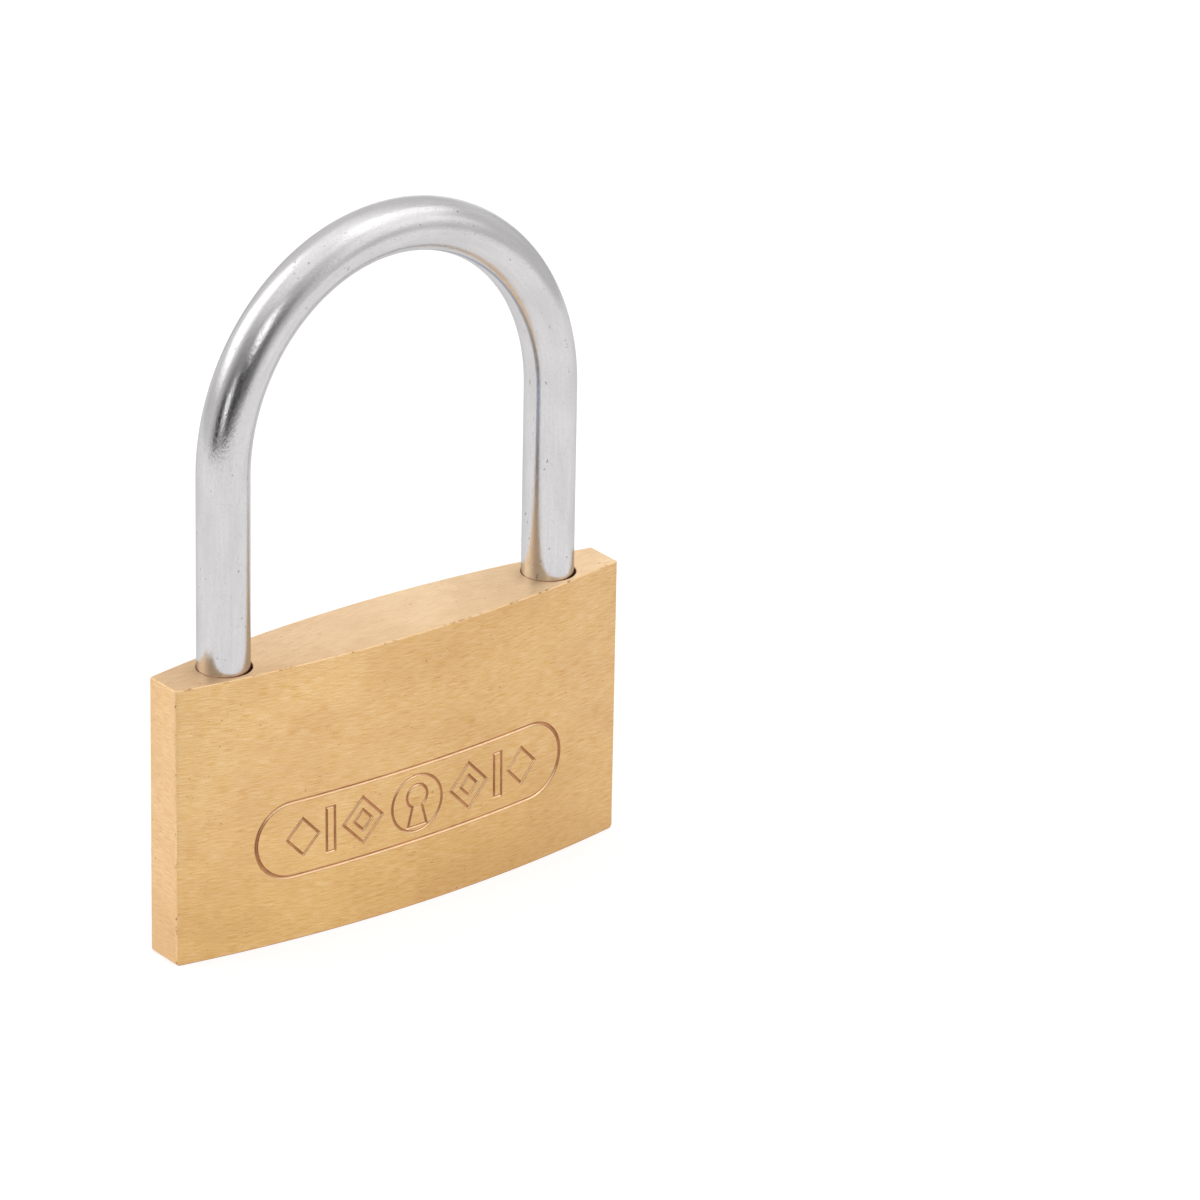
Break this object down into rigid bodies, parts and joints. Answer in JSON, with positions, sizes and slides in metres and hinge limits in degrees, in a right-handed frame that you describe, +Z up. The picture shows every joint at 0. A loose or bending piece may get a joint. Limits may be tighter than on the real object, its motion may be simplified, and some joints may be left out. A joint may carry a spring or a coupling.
{
  "type": "padlock",
  "caption": "Keyed padlock with a flat brass case that bulges in the middle and a tall round steel shackle, shown closed.",
  "frame": {"origin": "middle of the case's underside", "axes": "+X along the case's width towards the leg that comes out, +Y towards the back, +Z up towards the shackle's bow"},
  "size_m": [0.063, 0.011, 0.0857],
  "materials": {
    "case_brass": "brushed lengthwise, unlacquered satin",
    "turned_brass": "turned, fine machining rings",
    "shackle_steel": "satin nickel plating with small nicks",
    "latch_steel": "ground, lightly oiled",
    "spring_steel": "drawn wire"
  },
  "bodies": {
    "case": {"case": "case_brass", "heel_spring": "spring_steel", "heel_pin": "latch_steel", "latch_spring": "spring_steel", "latch_bore_plug": "case_brass", "plug_pin": "latch_steel", "pin_spring_1": "spring_steel", "pin_spring_2": "spring_steel", "pin_spring_3": "spring_steel", "pin_spring_4": "spring_steel", "pin_spring_5": "spring_steel", "chamber_plug_1": "case_brass", "chamber_plug_2": "case_brass", "chamber_plug_3": "case_brass", "chamber_plug_4": "case_brass", "chamber_plug_5": "case_brass"},
    "shackle": {"shackle": "shackle_steel"},
    "plug": {"plug": "turned_brass", "plug_cam": "latch_steel"},
    "latch": {"latch": "latch_steel"},
    "key_pin_1": {"key_pin_1": "turned_brass"},
    "key_pin_2": {"key_pin_2": "turned_brass"},
    "key_pin_3": {"key_pin_3": "turned_brass"},
    "key_pin_4": {"key_pin_4": "turned_brass"},
    "key_pin_5": {"key_pin_5": "turned_brass"},
    "driver_pin_1": {"driver_pin_1": "latch_steel"},
    "driver_pin_2": {"driver_pin_2": "latch_steel"},
    "driver_pin_3": {"driver_pin_3": "latch_steel"},
    "driver_pin_4": {"driver_pin_4": "latch_steel"},
    "driver_pin_5": {"driver_pin_5": "latch_steel"}
  },
  "joints": [
    {"name": "shackle_lift", "type": "slide", "parent": "case", "child": "shackle", "axis": [0, 0, 1], "range_m": [0, 0.0134], "deforming": ["heel_spring"]},
    {"name": "plug_turn", "type": "hinge", "parent": "case", "child": "plug", "pos_m": [0, 0, 0.011], "axis": [0, 0, 1], "range_deg": [-90, 0]},
    {"name": "latch_slide", "type": "slide", "parent": "case", "child": "latch", "axis": [1, 0, 0], "range_m": [0, 0.00184], "deforming": ["latch_spring"]},
    {"name": "key_pin_1_slide", "type": "slide", "parent": "plug", "child": "key_pin_1", "axis": [0, -1, 0], "range_m": [0, 0.0016]},
    {"name": "key_pin_2_slide", "type": "slide", "parent": "plug", "child": "key_pin_2", "axis": [0, -1, 0], "range_m": [0, 0.0008]},
    {"name": "key_pin_3_slide", "type": "slide", "parent": "plug", "child": "key_pin_3", "axis": [0, -1, 0], "range_m": [0, 0.0013]},
    {"name": "key_pin_4_slide", "type": "slide", "parent": "plug", "child": "key_pin_4", "axis": [0, -1, 0], "range_m": [0, 0.0005]},
    {"name": "key_pin_5_slide", "type": "slide", "parent": "plug", "child": "key_pin_5", "axis": [0, -1, 0], "range_m": [0, 0.0011]},
    {"name": "driver_pin_1_slide", "type": "slide", "parent": "case", "child": "driver_pin_1", "axis": [1, 0, 0], "range_m": [0, 0.0015], "stiffness_N_per_m": 60, "springref_m": -0.002, "deforming": ["pin_spring_1"]},
    {"name": "driver_pin_2_slide", "type": "slide", "parent": "case", "child": "driver_pin_2", "axis": [1, 0, 0], "range_m": [0, 0.0015], "stiffness_N_per_m": 60, "springref_m": -0.002, "deforming": ["pin_spring_2"]},
    {"name": "driver_pin_3_slide", "type": "slide", "parent": "case", "child": "driver_pin_3", "axis": [1, 0, 0], "range_m": [0, 0.0015], "stiffness_N_per_m": 60, "springref_m": -0.002, "deforming": ["pin_spring_3"]},
    {"name": "driver_pin_4_slide", "type": "slide", "parent": "case", "child": "driver_pin_4", "axis": [1, 0, 0], "range_m": [0, 0.0015], "stiffness_N_per_m": 60, "springref_m": -0.002, "deforming": ["pin_spring_4"]},
    {"name": "driver_pin_5_slide", "type": "slide", "parent": "case", "child": "driver_pin_5", "axis": [1, 0, 0], "range_m": [0, 0.0015], "stiffness_N_per_m": 60, "springref_m": -0.002, "deforming": ["pin_spring_5"]}
  ],
  "couplings": [
    {"joint": "plug_turn", "follows": "latch_slide", "rad_per_m": -853.69}
  ]
}
